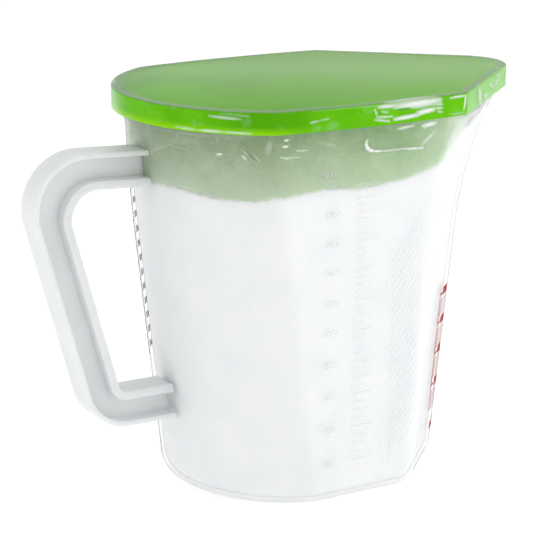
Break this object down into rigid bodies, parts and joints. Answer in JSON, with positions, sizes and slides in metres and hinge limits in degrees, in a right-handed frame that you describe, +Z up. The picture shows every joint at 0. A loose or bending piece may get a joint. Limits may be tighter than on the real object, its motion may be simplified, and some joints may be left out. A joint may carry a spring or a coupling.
{
  "type": "lidded pouring jug",
  "caption": "Tapered pouring jug with a spout nose, H-section handle, lift-off lid, powder contents and a shrink-film seal round the lid.",
  "frame": {"origin": "on the flat underside of the jug, on its plane of symmetry", "axes": "+X towards the pouring spout, -X towards the handle, +Z up"},
  "size_m": [0.2538, 0.142, 0.19],
  "materials": {
    "clear_plastic": "clear, slightly milky moulded plastic",
    "milky_plastic": "translucent milky moulded plastic, satin",
    "green_plastic": "glossy moulded plastic, slightly translucent",
    "powder": "fine white powder",
    "shrink_film": "clear wrinkled shrink film",
    "red_ink": "screen print",
    "black_ink": "screen print"
  },
  "bodies": {
    "jug": {"jug_shell": "clear_plastic", "handle": "milky_plastic", "powder_fill": "powder", "neck_shrink_band": "shrink_film", "front_scale_print": "red_ink", "rear_scale_print": "black_ink"},
    "lid": {"lid": "green_plastic", "lid_shrink_band": "shrink_film"}
  },
  "joints": [
    {"name": "lid_lift", "type": "slide", "parent": "jug", "child": "lid", "axis": [0, 0, 1], "range_m": [0, 0.06]}
  ]
}
